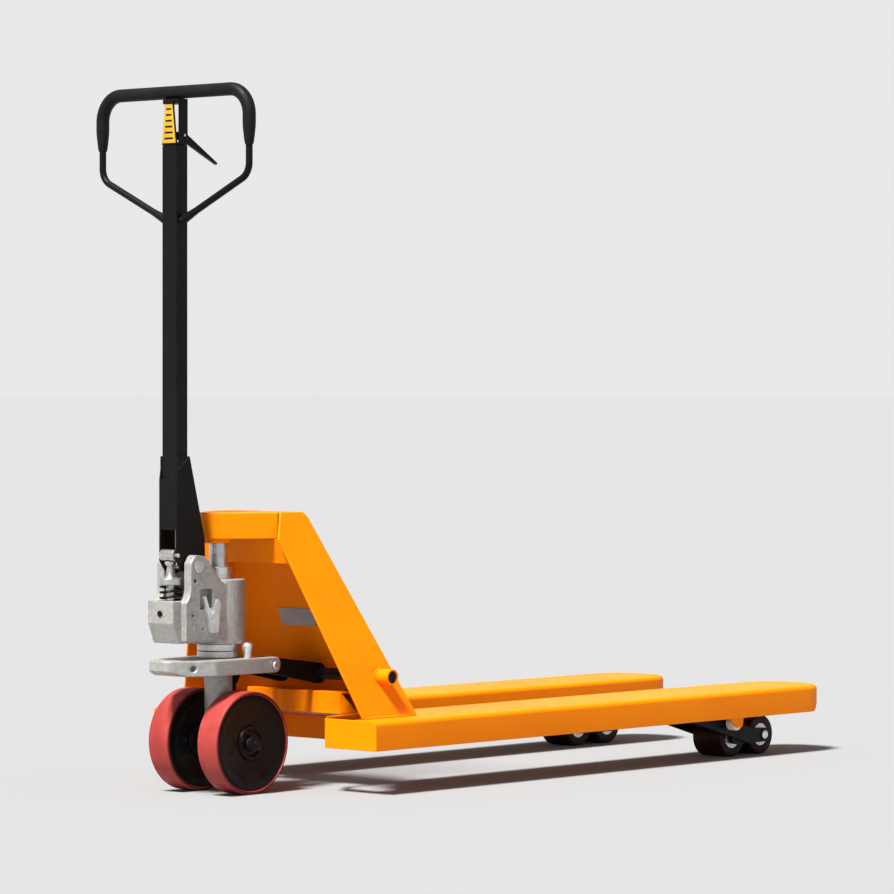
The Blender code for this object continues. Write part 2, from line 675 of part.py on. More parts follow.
def make_loop():
    """The bent rod of the loop and the grip moulded over its top."""
    foot = COLUMN_Y + 0.006
    points = [(HANDLE_X, foot, LOOP_FOOT_Z + 0.003), (HANDLE_X, LOOP_HALF, LOOP_BEND_Z),
              (HANDLE_X, LOOP_HALF, LOOP_TOP_Z), (HANDLE_X, -LOOP_HALF, LOOP_TOP_Z),
              (HANDLE_X, -LOOP_HALF, LOOP_BEND_Z), (HANDLE_X, -foot, LOOP_FOOT_Z + 0.003)]
    path = rounded(points, [0, 0.03, 0.045, 0.045, 0.03, 0], closed=False, steps=6)
    add("handle_loop", loft(rings_along(path, LOOP_R, 10)), "paint_black", "handle", smooth=True)
    points = [(HANDLE_X, LOOP_HALF, GRIP_END_Z), *points[2:4], (HANDLE_X, -LOOP_HALF, GRIP_END_Z)]
    path = rounded(points, [0, 0.045, 0.045, 0], closed=False, steps=6)
    outside = rings_along(path, GRIP_R, 10)
    inside = rings_along(path, LOOP_R + GAP, 10)
    add("loop_grip", loft(outside + inside[::-1], hollow=True), "grip_rubber", "handle",
        smooth=True)


def make_handle():
    """Everything that swings on the pump's ears."""
    make_handle_bracket()
    front = HANDLE_X - COLUMN_X
    back = HANDLE_X + COLUMN_X
    wall = 0.003
    column = add("handle_column", box((front, -COLUMN_Y, COLUMN_LOW_Z),
                                      (back, COLUMN_Y, COLUMN_TOP_Z)), "paint_black", "handle")
    cut(column, box((front + wall, -COLUMN_Y + wall, COLUMN_LOW_Z - 0.01),
                    (back - wall, COLUMN_Y - wall, COLUMN_TOP_Z + 0.01)))
    make_control_head()
    make_loop()
    add("label_strap", loft([[(front - 0.0016, -y, z), (front - 0.0009, -y, z),
                              (front - 0.0009, y, z), (front - 0.0016, y, z)]
                             for y, z in ((0.0168, COLUMN_TOP_Z + 0.003), (0.0088, 1.200))]),
        "label_yellow", "handle")
    add("pressure_roller_pin", disc(0.004, -0.0220, 0.0220, (PRESS_X, 0, PRESS_Z), steps=16),
        "steel", "handle", smooth=True)
    add("release_rod", disc(0.003, 0.430, 1.120, (HANDLE_X + 0.004, 0, 0), "Z", steps=12),
        "steel", "handle", smooth=True)
    add("trigger_pin", disc(0.0025, -COLUMN_Y, COLUMN_Y, (TRIGGER_X, 0, TRIGGER_Z), steps=12),
        "steel", "handle", smooth=True)
    add("pressure_roller", ring(0.0045, PRESS_R, -0.0165, 0.0165, (PRESS_X, 0, PRESS_Z)),
        "steel", "press", smooth=True)


def make_trigger():
    """The tapered finger lever that lowers the forks."""
    x, z = TRIGGER_X, TRIGGER_Z
    outline = rounded([(x - 0.008, z + 0.006), (x - 0.008, z - 0.008), (x + 0.010, z - 0.008),
                       (x + 0.093, z - 0.0475), (x + 0.0955, z - 0.0445), (x + 0.014, z + 0.007)],
                      [0.004, 0.004, 0.01, 0.001, 0.001, 0.01], steps=2)
    lever = add("release_trigger", prism(outline, "Y", -0.003, 0.003), "paint_black", "trigger")
    cut(lever, disc(0.0028, -0.01, 0.01, (x, 0, z), steps=12))


# ---- Lift linkage -----------------------------------------------------------------

def swung(centre, radius, angle):
    """A point in the XZ plane at a radius, its angle from +X towards +Z."""
    return centre[0] + radius * math.cos(angle), centre[1] + radius * math.sin(angle)


def bar(start, end, first, last, steps=8):
    """An outline in the XZ plane: a tapered bar with a round eye at each end."""
    a, b = Vector(start), Vector(end)
    heading = math.atan2(b.y - a.y, b.x - a.x)
    lean = math.asin((first - last) / (b - a).length)
    points = []
    for spot, radius, turn, sweep in ((a, first, math.pi / 2 - lean, math.pi + 2 * lean),
                                      (b, last, -math.pi / 2 + lean, math.pi - 2 * lean)):
        for i in range(steps + 1):
            points.append(swung(spot, radius, heading + turn + sweep * i / steps))
    return points


def crank_pin():
    """The crank pin's place at rest, below and a little in front of the shaft."""
    angle = -math.pi / 2 - CRANK_BACK
    return swung((SHAFT_X, SHAFT_Z), CRANK, angle)


def yoke_pin():
    """The place of the rod's pin on the yoke at rest."""
    return swung((YOKE_X, YOKE_Z), YOKE_LEVER, math.pi / 2 + YOKE_LEVER_BACK)


def make_rocker():
    """The rocker shaft with a crank at each end, and the two arms to the seat."""
    shaft_centre = (SHAFT_X, 0, SHAFT_Z)
    shaft = add("rocker_shaft", disc(SHAFT_R, -SHAFT_END_Y, SHAFT_END_Y, shaft_centre, steps=20),
                "paint_black", "rocker", smooth=True)
    pin = crank_pin()
    reach = math.hypot(SHAFT_X - LUG_PIN_X, SHAFT_Z - LUG_PIN_Z)
    heading = math.atan2(LUG_PIN_Z - SHAFT_Z, LUG_PIN_X - SHAFT_X)
    slot_near = swung((SHAFT_X, SHAFT_Z), reach - 0.0017, heading)
    slot_far = swung((SHAFT_X, SHAFT_Z), reach + 0.0119, heading)
    for name, side in (("left", 1), ("right", -1)):
        low, high = spans(side, ROD_Y - 0.0097, ROD_Y - 0.0039)
        join(shaft, prism(bar((SHAFT_X, SHAFT_Z), pin, 0.016, 0.009), "Y", low, high))
        low, high = spans(side, ROD_Y - 0.006, ROD_Y + 0.0060)
        join(shaft, disc(0.004, low, high, (pin[0], 0, pin[1]), steps=12))
        low, high = spans(side, 0.0395, 0.0500)
        arm = add(f"rocker_arm_{name}",
                  prism(bar((SHAFT_X, SHAFT_Z), slot_far, 0.0185, 0.0135), "Y", low, high),
                  "paint_black", "rocker")
        cut(arm, disc(SHAFT_R + GAP, -0.06, 0.06, shaft_centre, steps=20),
            prism(bar(slot_near, slot_far, 0.0095, 0.0095), "Y", -0.06, 0.06))


def make_rod(name, side):
    """The push rod: down from the crank, then forwards under the deck to the yoke."""
    rear = crank_pin()
    front = yoke_pin()
    eye = 0.0075
    nose = (front[0], front[1] - 0.0012)
    low_z = 0.0965
    points = [swung(rear, eye, math.pi * i / 6) for i in range(7)]
    points += [(rear[0] - eye, low_z), (front[0] - 0.055, low_z), (front[0] - 0.035, 0.1010)]
    points += [swung(nose, 0.0095, -math.pi / 2 + math.pi * i / 6) for i in range(7)]
    points += [(front[0] - 0.06, front[1] + 0.002), (rear[0] + eye + 0.03, 0.112),
               (rear[0] + eye, 0.130)]
    low, high = spans(side, ROD_Y - 0.0035, ROD_Y + 0.0035)
    rod = add(f"push_rod_{name}", prism(points, "Y", low, high), "paint_black",
              f"rod_{name}")
    low, high = spans(side, ROD_Y - 0.01, ROD_Y + 0.01)
    cut(rod, disc(0.0045, low, high, (rear[0], 0, rear[1]), steps=12),
        prism(bar((front[0], front[1] - 0.0024), (front[0], front[1] + 0.0002), 0.0046, 0.0046,
                  steps=6), "Y", low, high))


def make_yoke(name, side):
    """The swinging fork that carries a bogie: two arms, a tube, a lever and pins."""
    pivot = (YOKE_X, YOKE_Z)
    arms = bar(pivot, (BOGIE_X, ROLLER_R), 0.0115, 0.0150, steps=6)
    low, high = spans(side, FORK_Y - 0.0487, FORK_Y - 0.0437)
    yoke = add(f"yoke_{name}", prism(arms, "Y", low, high), "paint_black", f"yoke_{name}")
    low, high = spans(side, FORK_Y + 0.0437, FORK_Y + 0.0487)
    join(yoke, prism(arms, "Y", low, high))
    edge = FORK_HALF - PLATE - GAP
    for radius, reach, centre in ((0.007, edge, pivot), (0.0108, 0.0450, pivot),
                                  (0.0050, 0.0450, (BOGIE_X, ROLLER_R))):
        low, high = spans(side, FORK_Y - reach, FORK_Y + reach)
        join(yoke, disc(radius, low, high, (centre[0], 0, centre[1]), steps=16))
    pin = yoke_pin()
    for inner, outer in ((-0.0085, -0.0043), (0.0043, 0.0085)):
        low, high = spans(side, ROD_Y + inner, ROD_Y + outer)
        join(yoke, prism(bar(pivot, pin, 0.0105, 0.0070, steps=6), "Y", low, high))
    low, high = spans(side, ROD_Y - 0.006, ROD_Y + 0.006)
    join(yoke, disc(0.0038, low, high, (pin[0], 0, pin[1]), steps=12))


def make_bogie(name, side):
    """Two link plates with the two axles of the load rollers between them."""
    height = 0.0135
    plates = bar((BOGIE_X - ROLLER_STEP, ROLLER_R), (BOGIE_X + ROLLER_STEP, ROLLER_R),
                 height, height, steps=6)
    low, high = spans(side, FORK_Y - 0.0432, FORK_Y - 0.0362)
    bogie = add(f"bogie_{name}", prism(plates, "Y", low, high), "paint_black",
                f"bogie_{name}")
    low, high = spans(side, FORK_Y + 0.0362, FORK_Y + 0.0432)
    join(bogie, prism(plates, "Y", low, high))
    low, high = spans(side, FORK_Y - 0.040, FORK_Y + 0.040)
    for step in (-ROLLER_STEP, ROLLER_STEP):
        join(bogie, disc(0.006, low, high, (BOGIE_X + step, 0, ROLLER_R), steps=16))
    low, high = spans(side, FORK_Y - 0.05, FORK_Y + 0.05)
    cut(bogie, disc(0.0053, low, high, (BOGIE_X, 0, ROLLER_R), steps=16))


def make_load_roller(name, side, step):
    """A solid roller with a bored core."""
    centre = (BOGIE_X + step, side * FORK_Y, ROLLER_R)
    axis = empty(f"load_roller_{name}_axis", centre, f"bogie_{name.split('_')[0]}")
    edge = 0.003
    profile = [(0.0065, -ROLLER_HALF), (ROLLER_R - edge, -ROLLER_HALF),
               (ROLLER_R, -ROLLER_HALF + edge), (ROLLER_R, ROLLER_HALF - edge),
               (ROLLER_R - edge, ROLLER_HALF), (0.0065, ROLLER_HALF)]
    add(f"load_roller_{name}", turned(profile, centre, steps=24), "roller_maroon", axis,
        smooth=True)


def make_linkage():
    """Rocker, push rods, yokes, bogies and load rollers of both forks."""
    make_rocker()
    for name, side in (("left", 1), ("right", -1)):
        y = side * FORK_Y
        pin = crank_pin()
        empty(f"rod_{name}", (pin[0], side * ROD_Y, pin[1]), "rocker")
        empty(f"yoke_{name}", (YOKE_X, y, YOKE_Z), "truck")
        empty(f"bogie_{name}", (BOGIE_X, y, ROLLER_R), f"yoke_{name}")
        make_rod(name, side)
        make_yoke(name, side)
        make_bogie(name, side)
        make_load_roller(f"{name}_rear", side, -ROLLER_STEP)
        make_load_roller(f"{name}_front", side, ROLLER_STEP)


# ---- Truck ------------------------------------------------------------------------

def main():
    """Clear the scene, place the joints, then make every piece."""
    for old in list(bpy.data.objects):
        bpy.data.objects.remove(old)
    empty("truck")
    empty("lift", (0, 0, SEAT_LOW_Z), "truck")
    empty("steer", (0, 0, PUMP_LOW_Z), "lift")
    empty("plunge", (PLUNGER_X, 0, PLUNGER_TOP_Z), "steer")
    empty("rocker_valve", (RELEASE_X, 0, RELEASE_Z), "steer")
    empty("handle", (PIVOT_X, 0, PIVOT_Z), "steer")
    empty("press", (PRESS_X, 0, PRESS_Z), "handle")
    empty("trigger", (TRIGGER_X, 0, TRIGGER_Z), "handle")
    empty("rocker", (SHAFT_X, 0, SHAFT_Z), "truck")
    make_frame()
    make_seat()
    make_pump()
    make_plunger()
    make_release_rocker()
    make_wheels()
    make_handle()
    make_trigger()
    make_linkage()
    for name, side in (("left", 1), ("right", -1)):
        make_exit_roller(name, side)


main()
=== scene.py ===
"""Studio scene of a hand pallet truck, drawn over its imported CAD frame.

Each CAD piece is redrawn as a finer mesh: plate with bent and broken edges,
castings with soft corners, turned parts with more steps. The pieces ride on the
CAD bodies, so they move with the joints. Places are read from the frame.
"""

import json
import math

import bmesh
import bpy
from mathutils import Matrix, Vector

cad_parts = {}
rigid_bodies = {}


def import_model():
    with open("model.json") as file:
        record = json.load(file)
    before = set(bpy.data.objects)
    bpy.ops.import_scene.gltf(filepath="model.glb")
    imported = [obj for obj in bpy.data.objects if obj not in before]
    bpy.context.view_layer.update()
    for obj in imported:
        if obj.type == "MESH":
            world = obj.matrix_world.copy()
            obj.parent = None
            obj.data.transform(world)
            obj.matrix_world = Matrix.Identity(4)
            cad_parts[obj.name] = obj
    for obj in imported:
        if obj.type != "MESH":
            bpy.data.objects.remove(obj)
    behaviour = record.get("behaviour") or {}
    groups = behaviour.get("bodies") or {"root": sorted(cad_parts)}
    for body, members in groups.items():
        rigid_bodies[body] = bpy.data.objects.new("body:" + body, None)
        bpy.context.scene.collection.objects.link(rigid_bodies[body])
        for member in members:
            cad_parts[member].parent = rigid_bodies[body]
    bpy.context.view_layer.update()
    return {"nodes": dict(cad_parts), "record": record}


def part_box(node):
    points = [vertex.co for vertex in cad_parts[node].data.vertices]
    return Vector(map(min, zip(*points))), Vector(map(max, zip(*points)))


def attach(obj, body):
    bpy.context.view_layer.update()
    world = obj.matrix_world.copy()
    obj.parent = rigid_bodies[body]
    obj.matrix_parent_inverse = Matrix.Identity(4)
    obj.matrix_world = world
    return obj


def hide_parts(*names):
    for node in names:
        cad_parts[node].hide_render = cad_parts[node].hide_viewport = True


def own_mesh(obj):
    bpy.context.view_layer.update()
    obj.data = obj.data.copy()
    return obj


for old in list(bpy.data.objects):
    bpy.data.objects.remove(old)

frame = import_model()

RECORD = frame["record"]
SLOTS = {part["node"]: part["material_slot"] for part in RECORD["subparts"]}
BODIES = {node: body for body, nodes in RECORD["behaviour"]["bodies"].items() for node in nodes}
SHARP = math.radians(35)


def middle(node):
    """The centre of a CAD node's box."""
    low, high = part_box(node)
    return (low + high) / 2


AXLE = middle("wheel_axle")
STEER_X = AXLE.x


# ---- Materials ------------------------------------------------------------------

def shader_of(name, colour, roughness, metallic=0.0):
    """A new material, its node tree and its shader."""
    made = bpy.data.materials.new(name)
    made.use_nodes = True
    made.diffuse_color = (*colour, 1)
    shader = made.node_tree.nodes["Principled BSDF"]
    shader.inputs["Base Color"].default_value = (*colour, 1)
    shader.inputs["Roughness"].default_value = roughness
    shader.inputs["Metallic"].default_value = metallic
    return made, made.node_tree, shader


def noise(tree, scale, detail=3.0, stretch=(1, 1, 1)):
    """Noise fixed to the piece, its scale in cycles per metre."""
    place = tree.nodes.new("ShaderNodeTexCoord")
    spread = tree.nodes.new("ShaderNodeMapping")
    spread.inputs["Scale"].default_value = stretch
    made = tree.nodes.new("ShaderNodeTexNoise")
    made.inputs["Scale"].default_value = scale
    made.inputs["Detail"].default_value = detail
    tree.links.new(place.outputs["Object"], spread.inputs["Vector"])
    tree.links.new(spread.outputs["Vector"], made.inputs["Vector"])
    return made.outputs["Fac"]


def ramp(tree, source, stops):
    """A colour ramp over a value: stops holds (place, colour)."""
    made = tree.nodes.new("ShaderNodeValToRGB")
    elements = made.color_ramp.elements
    while len(elements) < len(stops):
        elements.new(0.5)
    for element, (place, colour) in zip(elements, stops):
        element.position = place
        element.color = (*colour, 1)
    tree.links.new(source, made.inputs["Fac"])
    return made.outputs["Color"]


def between(tree, source, low, high):
    """A value from 0.35..0.65 spread over low..high."""
    made = tree.nodes.new("ShaderNodeMapRange")
    made.inputs["From Min"].default_value = 0.35
    made.inputs["From Max"].default_value = 0.65
    made.inputs["To Min"].default_value = low
    made.inputs["To Max"].default_value = high
    tree.links.new(source, made.inputs["Value"])
    return made.outputs["Result"]


def mixed(tree, factor, first, second):
    """One colour laid over another."""
    made = tree.nodes.new("ShaderNodeMix")
    made.data_type = "RGBA"
    tree.links.new(factor, made.inputs[0])
    tree.links.new(first, made.inputs[6])
    tree.links.new(second, made.inputs[7])
    return made.outputs[2]


def bumped(tree, shader, layers):
    """Bump from several noises: layers holds (height, strength, distance)."""
    last = None
    for height, strength, distance in layers:
        made = tree.nodes.new("ShaderNodeBump")
        made.inputs["Strength"].default_value = strength
        made.inputs["Distance"].default_value = distance
        tree.links.new(height, made.inputs["Height"])
        if last:
            tree.links.new(last, made.inputs["Normal"])
        last = made.outputs["Normal"]
    tree.links.new(last, shader.inputs["Normal"])


def powder_coat(name, deep, bright, dust, roughness, gloss):
    """Baked paint: orange peel, slow colour drift, and dusty scuffs."""
    made, tree, shader = shader_of(name, bright, roughness)
    shader.inputs["Specular IOR Level"].default_value = gloss
    drift = ramp(tree, noise(tree, 4.0), [(0.3, deep), (0.7, bright)])
    worn = ramp(tree, noise(tree, 2.6, 2.0), [(0.3, dust), (0.7, deep)])
    scuffs = between(tree, noise(tree, 9.0, 8.0, (1.0, 5.0, 2.0)), -0.55, 0.30)
    tree.links.new(mixed(tree, scuffs, drift, worn), shader.inputs["Base Color"])
    tree.links.new(between(tree, noise(tree, 60.0, 5.0), roughness - 0.06, roughness + 0.10),
                   shader.inputs["Roughness"])
    bumped(tree, shader, [(noise(tree, 420.0, 2.0), 0.06, 0.0005),
                          (noise(tree, 24.0, 2.0), 0.05, 0.0010)])
    return made


def cast(name, dark, light):
    """Sand-cast metal under silver lacquer."""
    made, tree, shader = shader_of(name, light, 0.5, 0.35)
    tone = ramp(tree, noise(tree, 180.0, 6.0), [(0.30, dark), (0.60, light)])
    # Random dark grime patches on the casting; no painted shade here.
    grime_and_shade = ramp(tree, noise(tree, 30.0, 4.0), [(0.34, dark), (0.44, light)])
    tree.links.new(mixed(tree, between(tree, noise(tree, 14.0), 0.05, 0.45), tone, grime_and_shade),
                   shader.inputs["Base Color"])
    tree.links.new(between(tree, noise(tree, 130.0, 4.0), 0.40, 0.58), shader.inputs["Roughness"])
    bumped(tree, shader, [(noise(tree, 700.0, 3.0), 0.35, 0.0006),
                          (noise(tree, 160.0, 3.0), 0.20, 0.0010)])
    return made


def bare_metal(name, dark, light, roughness, grain):
    """Turned, ground or plated steel, with its grain stretched by (x, y, z)."""
    made, tree, shader = shader_of(name, light, roughness, 0.9)
    tone = ramp(tree, noise(tree, 45.0, 5.0), [(0.3, dark), (0.65, light)])
    tree.links.new(tone, shader.inputs["Base Color"])
    rubbed = noise(tree, 220.0, 4.0, grain)
    tree.links.new(between(tree, rubbed, roughness - 0.08, roughness + 0.12),
                   shader.inputs["Roughness"])
    bumped(tree, shader, [(noise(tree, 500.0, 3.0, grain), 0.12, 0.0003)])
    return made


def elastomer(name, dark, light, roughness, grain, gloss=0.5):
    """Moulded rubber, polyurethane or plastic with rubbed and dusty patches."""
    made, tree, shader = shader_of(name, light, roughness)
    shader.inputs["Specular IOR Level"].default_value = gloss
    tone = ramp(tree, noise(tree, 22.0, 6.0), [(0.32, dark), (0.66, light)])
    tree.links.new(tone, shader.inputs["Base Color"])
    tree.links.new(between(tree, noise(tree, 90.0, 4.0), roughness - 0.07, roughness + 0.12),
                   shader.inputs["Roughness"])
    bumped(tree, shader, [(noise(tree, grain, 3.0), 0.20, 0.0005)])
    return made


def shaded_sides(made, side_shade_colour, start):
    """Painted shade on the faces that look along the axle, the object's own Y."""
    tree = made.node_tree
    shader = tree.nodes["Principled BSDF"]
    unshaded = shader.inputs["Base Color"].links[0].from_socket
    place = tree.nodes.new("ShaderNodeTexCoord")
    parts = tree.nodes.new("ShaderNodeSeparateXYZ")
    size = tree.nodes.new("ShaderNodeMath")
    size.operation = "ABSOLUTE"
    amount = tree.nodes.new("ShaderNodeMapRange")
    amount.inputs["From Min"].default_value = start
    amount.inputs["From Max"].default_value = 0.95
    # The colour of the painted shade on the side faces, varied by noise.
    grime_and_shade = ramp(tree, noise(tree, 70.0, 5.0), [(0.3, side_shade_colour), (0.8, tuple(2.2 * c for c in side_shade_colour))])
    tree.links.new(place.outputs["Normal"], parts.inputs[0])
    tree.links.new(parts.outputs["Y"], size.inputs[0])
    tree.links.new(size.outputs[0], amount.inputs["Value"])
    # Painted shade: the side faces fade from the tread's own colour to that dark colour.
    tree.links.new(mixed(tree, amount.outputs["Result"], unshaded, grime_and_shade),
                   shader.inputs["Base Color"])
    return made


MATERIALS = {
    "paint_orange": powder_coat("paint_orange", (0.88, 0.205, 0.0010), (0.95, 0.245, 0.0014),
                                (0.80, 0.200, 0.003), 0.38, 0.05),
    "paint_black": powder_coat("paint_black", (0.0035, 0.0035, 0.0035), (0.0060, 0.0058, 0.0056),
                               (0.012, 0.0115, 0.011), 0.40, 0.11),
    "cast_metal": cast("cast_metal", (0.27, 0.260, 0.245), (0.39, 0.38, 0.36)),
    "steel": bare_metal("steel", (0.42, 0.41, 0.40), (0.66, 0.66, 0.65), 0.30, (1, 1, 9)),
    "zinc": bare_metal("zinc", (0.58, 0.60, 0.61), (0.82, 0.83, 0.83), 0.34, (1, 1, 1)),
    # The tread's side faces are darkened here with painted shade.
    "tread_red": shaded_sides(elastomer("tread_red", (0.27, 0.030, 0.026), (0.37, 0.048, 0.040),
                                        0.50, 260.0, 0.20), (0.030, 0.003, 0.003), 0.45),
    "roller_maroon": elastomer("roller_maroon", (0.008, 0.0018, 0.0024), (0.026, 0.004, 0.006),
                               0.42, 300.0, 0.12),
    "black_plastic": elastomer("black_plastic", (0.002, 0.002, 0.002), (0.005, 0.0048, 0.0046),
                               0.34, 500.0, 0.12),
    "grip_rubber": elastomer("grip_rubber", (0.004, 0.004, 0.004), (0.009, 0.0085, 0.0085),
                             0.48, 800.0, 0.14),
    "label_yellow": elastomer("label_yellow", (0.46, 0.27, 0.02), (0.54, 0.32, 0.03), 0.45, 90.0,
                              0.2),
    "label_grey": elastomer("label_grey", (0.22, 0.22, 0.235), (0.34, 0.34, 0.355), 0.42, 90.0),
    "nylon": elastomer("nylon", (0.62, 0.55, 0.42), (0.80, 0.74, 0.60), 0.50, 300.0),
}


# ---- Building pieces --------------------------------------------------------------

def piece(name, bm, slot, body, replaced=()):
    """A new smooth-shaded piece from a mesh, riding on a CAD body."""
    mesh = bpy.data.meshes.new(name)
    bm.to_mesh(mesh)
    bm.free()
    mesh.materials.append(MATERIALS[slot])
    made = bpy.data.objects.new(name, mesh)
    bpy.context.scene.collection.objects.link(made)
    mesh.shade_smooth()
    mesh.set_sharp_from_angle(angle=SHARP)
    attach(made, body)
    if replaced:
        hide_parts(*replaced)
    return made


def copied(node):
    """A CAD node's mesh with its seams closed and its flat faces whole."""
    bm = bmesh.new()
    bm.from_mesh(frame["nodes"][node].data)
    bmesh.ops.remove_doubles(bm, verts=bm.verts, dist=1e-5)
    bmesh.ops.dissolve_limit(bm, angle_limit=math.radians(1), verts=bm.verts, edges=bm.edges)
    bmesh.ops.recalc_face_normals(bm, faces=bm.faces)
    return bm


def broken_edges(made, width, segments=3):
    """A small round on every sharp edge, with flat faces kept flat."""
    bevel = made.modifiers.new("edges", "BEVEL")
    bevel.width = width
    bevel.segments = segments
    bevel.limit_method = "ANGLE"
    bevel.angle_limit = SHARP
    bevel.harden_normals = True
    return made


def refined(node, width, segments=3):
    """A CAD node redrawn with broken edges."""
    made = piece(f"{node}_finish", copied(node), SLOTS[node], BODIES[node], [node])
    return broken_edges(made, width, segments)


def settled(made):
    """A piece with its modifiers applied."""
    bpy.context.view_layer.update()
    graph = bpy.context.evaluated_depsgraph_get()
    mesh = bpy.data.meshes.new_from_object(made.evaluated_get(graph))
    made.modifiers.clear()
    made.data = mesh
    return made


def softened(node, voxel, rounds, cutters=()):
    """A CAD node redrawn as a casting: recesses cut, then every corner rounded."""
    made = piece(f"{node}_finish", copied(node), SLOTS[node], BODIES[node], [node])
    tools = []
    for bm in cutters:
        mesh = bpy.data.meshes.new("tool")
        bmesh.ops.recalc_face_normals(bm, faces=bm.faces)
        bm.to_mesh(mesh)
        bm.free()
        tool = bpy.data.objects.new("tool", mesh)
        bpy.context.scene.collection.objects.link(tool)
        tools.append(tool)
        cut = made.modifiers.new("cut", "BOOLEAN")
        cut.operation = "DIFFERENCE"
        cut.object = tool
    remesh = made.modifiers.new("remesh", "REMESH")
    remesh.mode = "VOXEL"
    remesh.voxel_size = voxel
    remesh.use_smooth_shade = True
    smooth = made.modifiers.new("smooth", "SMOOTH")
    smooth.factor = 0.5
    smooth.iterations = rounds
    settled(made)
    for tool in tools:
        bpy.data.objects.remove(tool)
    return made


def lathe(profile, centre, axis="Y", steps=64):
    """A turned mesh: profile holds (radius, height) along the axis.

    It is solid when it starts and ends at radius 0, and a ring otherwise.
    """
    bm = bmesh.new()
    rows = []
    for radius, height in profile:
        count = 1 if radius == 0 else steps
        row = []
        for i in range(count):
            angle = 2 * math.pi * i / steps
            a, b = radius * math.sin(angle), radius * math.cos(angle)
            offset = {"X": (height, a, b), "Y": (a, height, b), "Z": (a, b, height)}[axis]
            row.append(bm.verts.new(Vector(centre) + Vector(offset)))
        rows.append(row)
    pairs = list(zip(rows, rows[1:]))
    if profile[0][0] > 0:
        pairs.append((rows[-1], rows[0]))
    for first, second in pairs:
        for i in range(steps):
            k = (i + 1) % steps
            corners = [first[i % len(first)], first[k % len(first)],
                       second[k % len(second)], second[i % len(second)]]
            bm.faces.new(list(dict.fromkeys(corners)))
    bmesh.ops.recalc_face_normals(bm, faces=bm.faces)
    return bm


def turned_edge(inner, outer, half, edge):
    """A ring's section with its outer corners rounded."""
    section = [(inner, -half)]
    for side in (-1, 1):
        for i in range(7):
            turn = math.pi / 2 * i / 6
            a, b = math.sin(turn), math.cos(turn)
            if side > 0:
                a, b = b, a
            section.append((outer - edge + edge * a, side * (half - edge + edge * b)))
    return section + [(inner, half)]


def tube(path, radii, sides=20, across=Vector((1, 0, 0))):
    """A closed tube along a path, its radius given at each point."""
    bm = bmesh.new()
    rows = []
    for i, spot in enumerate(path):
        ahead = (path[min(i + 1, len(path) - 1)] - path[max(i - 1, 0)]).normalized()
        first = (across - across.dot(ahead) * ahead).normalized()
        second = ahead.cross(first)
        rows.append([bm.verts.new(spot + radii[i] * (first * math.cos(2 * math.pi * k / sides)
                                                     + second * math.sin(2 * math.pi * k / sides)))
                     for k in range(sides)])
    for first, second in zip(rows, rows[1:]):
        for k in range(sides):
            n = (k + 1) % sides
            bm.faces.new([first[k], first[n], second[n], second[k]])
    bm.faces.new(rows[0])
    bm.faces.new(rows[-1])
    bmesh.ops.recalc_face_normals(bm, faces=bm.faces)
    return bm


def block(low, high):
    """A box for cutting."""
    bm = bmesh.new()
    bmesh.ops.create_cube(bm, size=1)
    for vert in bm.verts:
        vert.co = Vector([high[i] if vert.co[i] > 0 else low[i] for i in range(3)])
    return bm


def weld(name, start, end, radius, body, slot="paint_orange"):
    """A painted weld bead, its ripples one after another along a line."""
    start, end = Vector(start), Vector(end)
    length = (end - start).length
    ripple = 0.0032
    count = max(8, int(length / ripple * 5))
    path = [start.lerp(end, i / count) for i in range(count + 1)]
    radii = []
    for i in range(count + 1):
        taper = min(1.0, 4 * i / count + 0.35, 4 * (count - i) / count + 0.35)
        wave = abs(math.sin(math.pi * i * length / count / ripple))
        radii.append(radius * taper * (0.84 + 0.16 * wave))
    lean = Vector((0.3, 0.5, 0.8))
    return piece(name, tube(path, radii, 12, lean), slot, body)


def rounded_path(points, radii, steps=12):
    """An open path whose inner corners are arcs of the given radii."""
    path = [Vector(points[0])]
    for i in range(1, len(points) - 1):
        corner = Vector(points[i])
        back = (Vector(points[i - 1]) - corner).normalized()
        ahead = (Vector(points[i + 1]) - corner).normalized()
        half = back.angle(ahead) / 2
        centre = corner + (back + ahead).normalized() * radii[i] / math.sin(half)
        first = corner + back * radii[i] / math.tan(half) - centre
        last = corner + ahead * radii[i] / math.tan(half) - centre
        sweep = first.angle(last)
        for k in range(steps + 1):
            part = sweep * k / steps
            path.append(centre + (first * math.sin(sweep - part) + last * math.sin(part))
                        / math.sin(sweep))
    return path + [Vector(points[-1])]


def spread(path, spacing):
    """The same path with points no further apart than the spacing."""
    made = [path[0]]
    for first, second in zip(path, path[1:]):
        count = max(1, math.ceil((second - first).length / spacing))
        made += [first.lerp(second, k / count) for k in range(1, count + 1)]
    return made


# ---- Frame -------------------------------------------------------------------------

FORK_BEND = 0.009         # outer radius of the folded fork plate
NOSE_LENGTH = 0.075       # how far the round nose reaches back from the tip
PLATE_EDGE = 0.0012       # broken edges of cut plate
WELD_STAND = 0.0008       # how far a bead's centre stands off its plate
TRAY_FOOT = 0.137         # length of the flanges' feet along the forks
FLANGE_LEAN = 0.375       # how far the flanges lean in, for each metre up
RIVET_INSET = 0.0045      # from the rating plate's edges


def make_fork(side):
    """A fork with its top edges bent and its cut edges broken."""
    node = f"fork_{side}"
    bm = copied(node)
    low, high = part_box(node)
    centre_y = (low.y + high.y) / 2
    half = (high.y - low.y) / 2
    edges = []
    for edge in bm.edges:
        if any(abs(vert.co.z - high.z) > 1e-4 for vert in edge.verts) or len(edge.link_faces) != 2:
            continue
        if edge.calc_face_angle() < SHARP:
            continue
        spot = (edge.verts[0].co + edge.verts[1].co) / 2
        on_wall = abs(abs(spot.y - centre_y) - half) < 1e-3
        in_nose = spot.x > high.x - NOSE_LENGTH
        if on_wall or in_nose:
            edges.append(edge)
    bmesh.ops.bevel(bm, geom=edges, offset=FORK_BEND, segments=6, profile=0.5, affect="EDGES",
                    clamp_overlap=True)
    broken_edges(piece(f"{node}_finish", bm, SLOTS[node], BODIES[node], [node]), PLATE_EDGE, 2)


